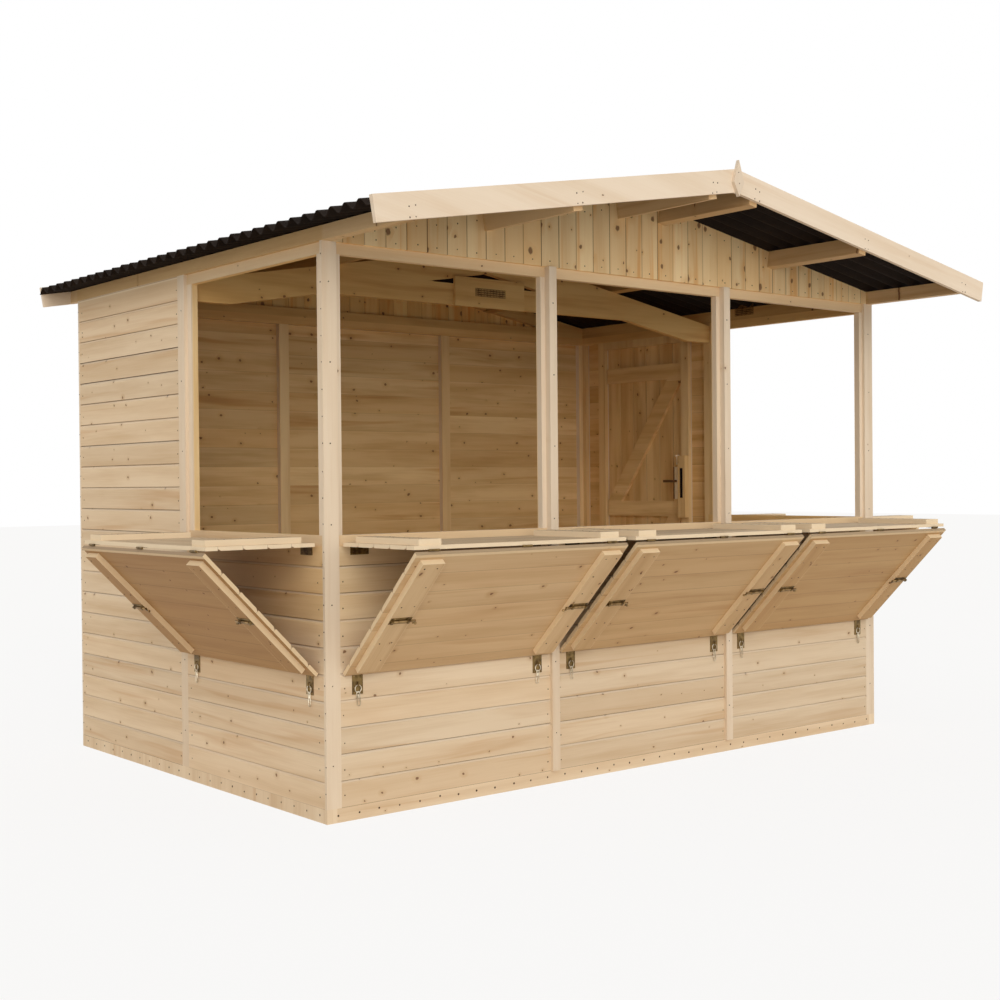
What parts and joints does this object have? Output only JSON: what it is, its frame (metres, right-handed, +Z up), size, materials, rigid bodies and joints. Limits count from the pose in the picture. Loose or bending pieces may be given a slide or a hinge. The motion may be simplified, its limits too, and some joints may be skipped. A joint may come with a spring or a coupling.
{
  "type": "wooden market stall",
  "caption": "Timber market stall with a shallow gabled corrugated roof, open serving bays, folding counter flaps with prop leaves, and a side door.",
  "frame": {"origin": "on the ground, in the middle of the front cladding face", "axes": "+X along the serving front to the right as seen from the customers, +Y to the back wall, +Z up"},
  "size_m": [4.1672, 2.792, 2.5072],
  "materials": {
    "timber": "planed softwood",
    "cladding": "planed softwood shiplap boards",
    "barge_timber": "planed softwood boards",
    "roof_bitumen": "matt corrugated bitumen sheet",
    "hinge_steel": "yellow passivated steel"
  },
  "bodies": {
    "stall": {"back_cladding": "cladding", "back_frame": "timber", "base_frame": "timber", "corner_strips": "timber", "door_hinge_plates": "hinge_steel", "eave_purlins": "timber", "finials": "barge_timber", "floor_deck": "timber", "front_barge_boards": "barge_timber", "front_cladding": "cladding", "front_frame": "timber", "front_gable": "cladding", "gable_frames": "timber", "hasps": "hinge_steel", "joint_battens": "timber", "left_cladding": "cladding", "left_frame": "timber", "lock_keep": "timber", "mid_purlins": "timber", "rear_barge_boards": "barge_timber", "rear_gable": "cladding", "ridge_cap": "roof_bitumen", "ridge_purlins": "timber", "right_cladding_beside_door": "cladding", "right_cladding_front": "cladding", "right_cladding_over_door": "cladding", "right_frame": "timber", "roof_sheets": "roof_bitumen", "truss_gusset": "timber", "truss_rafters": "timber", "truss_tie": "timber", "wall_hinges": "hinge_steel"},
    "counter_leaf_front_left": {"counter_front_left": "cladding", "counter_hinges_front_left": "hinge_steel"},
    "prop_leaf_front_left": {"prop_front_left": "cladding", "prop_fittings_front_left": "hinge_steel"},
    "counter_leaf_front_middle": {"counter_front_middle": "cladding", "counter_hinges_front_middle": "hinge_steel"},
    "prop_leaf_front_middle": {"prop_front_middle": "cladding", "prop_fittings_front_middle": "hinge_steel"},
    "counter_leaf_front_right": {"counter_front_right": "cladding", "counter_hinges_front_right": "hinge_steel"},
    "prop_leaf_front_right": {"prop_front_right": "cladding", "prop_fittings_front_right": "hinge_steel"},
    "counter_leaf_left": {"counter_left": "cladding", "counter_hinges_left": "hinge_steel"},
    "prop_leaf_left": {"prop_left": "cladding", "prop_fittings_left": "hinge_steel"},
    "counter_leaf_right": {"counter_right": "cladding", "counter_hinges_right": "hinge_steel"},
    "prop_leaf_right": {"prop_right": "cladding", "prop_fittings_right": "hinge_steel"},
    "door": {"door_leaf": "timber", "door_ledges": "timber", "door_lock": "hinge_steel", "door_hinges": "hinge_steel"}
  },
  "joints": [
    {"name": "counter_front_left_hinge", "type": "hinge", "parent": "stall", "child": "counter_leaf_front_left", "pos_m": [-1.05, -0.0063, 0.998], "axis": [-1, 0, 0], "range_deg": [0, 90]},
    {"name": "prop_front_left_hinge", "type": "hinge", "parent": "counter_leaf_front_left", "child": "prop_leaf_front_left", "pos_m": [-1.05, -0.45676, 0.998], "axis": [-1, 0, 0], "range_deg": [0, 134.8]},
    {"name": "counter_front_middle_hinge", "type": "hinge", "parent": "stall", "child": "counter_leaf_front_middle", "pos_m": [0, -0.0063, 0.998], "axis": [-1, 0, 0], "range_deg": [0, 90]},
    {"name": "prop_front_middle_hinge", "type": "hinge", "parent": "counter_leaf_front_middle", "child": "prop_leaf_front_middle", "pos_m": [0, -0.45676, 0.998], "axis": [-1, 0, 0], "range_deg": [0, 134.8]},
    {"name": "counter_front_right_hinge", "type": "hinge", "parent": "stall", "child": "counter_leaf_front_right", "pos_m": [1.05, -0.0063, 0.998], "axis": [-1, 0, 0], "range_deg": [0, 90]},
    {"name": "prop_front_right_hinge", "type": "hinge", "parent": "counter_leaf_front_right", "child": "prop_leaf_front_right", "pos_m": [1.05, -0.45676, 0.998], "axis": [-1, 0, 0], "range_deg": [0, 134.8]},
    {"name": "counter_left_hinge", "type": "hinge", "parent": "stall", "child": "counter_leaf_left", "pos_m": [-1.6253, 0.539, 0.998], "axis": [0, 1, 0], "range_deg": [0, 90]},
    {"name": "prop_left_hinge", "type": "hinge", "parent": "counter_leaf_left", "child": "prop_leaf_left", "pos_m": [-2.07576, 0.539, 0.998], "axis": [0, 1, 0], "range_deg": [0, 134.8]},
    {"name": "counter_right_hinge", "type": "hinge", "parent": "stall", "child": "counter_leaf_right", "pos_m": [1.6253, 0.539, 0.998], "axis": [0, -1, 0], "range_deg": [0, 90]},
    {"name": "prop_right_hinge", "type": "hinge", "parent": "counter_leaf_right", "child": "prop_leaf_right", "pos_m": [2.07576, 0.539, 0.998], "axis": [0, -1, 0], "range_deg": [0, 134.8]},
    {"name": "door_hinge", "type": "hinge", "parent": "stall", "child": "door", "pos_m": [1.632, 1.903, 1], "axis": [0, 0, 1], "range_deg": [0, 105]}
  ]
}
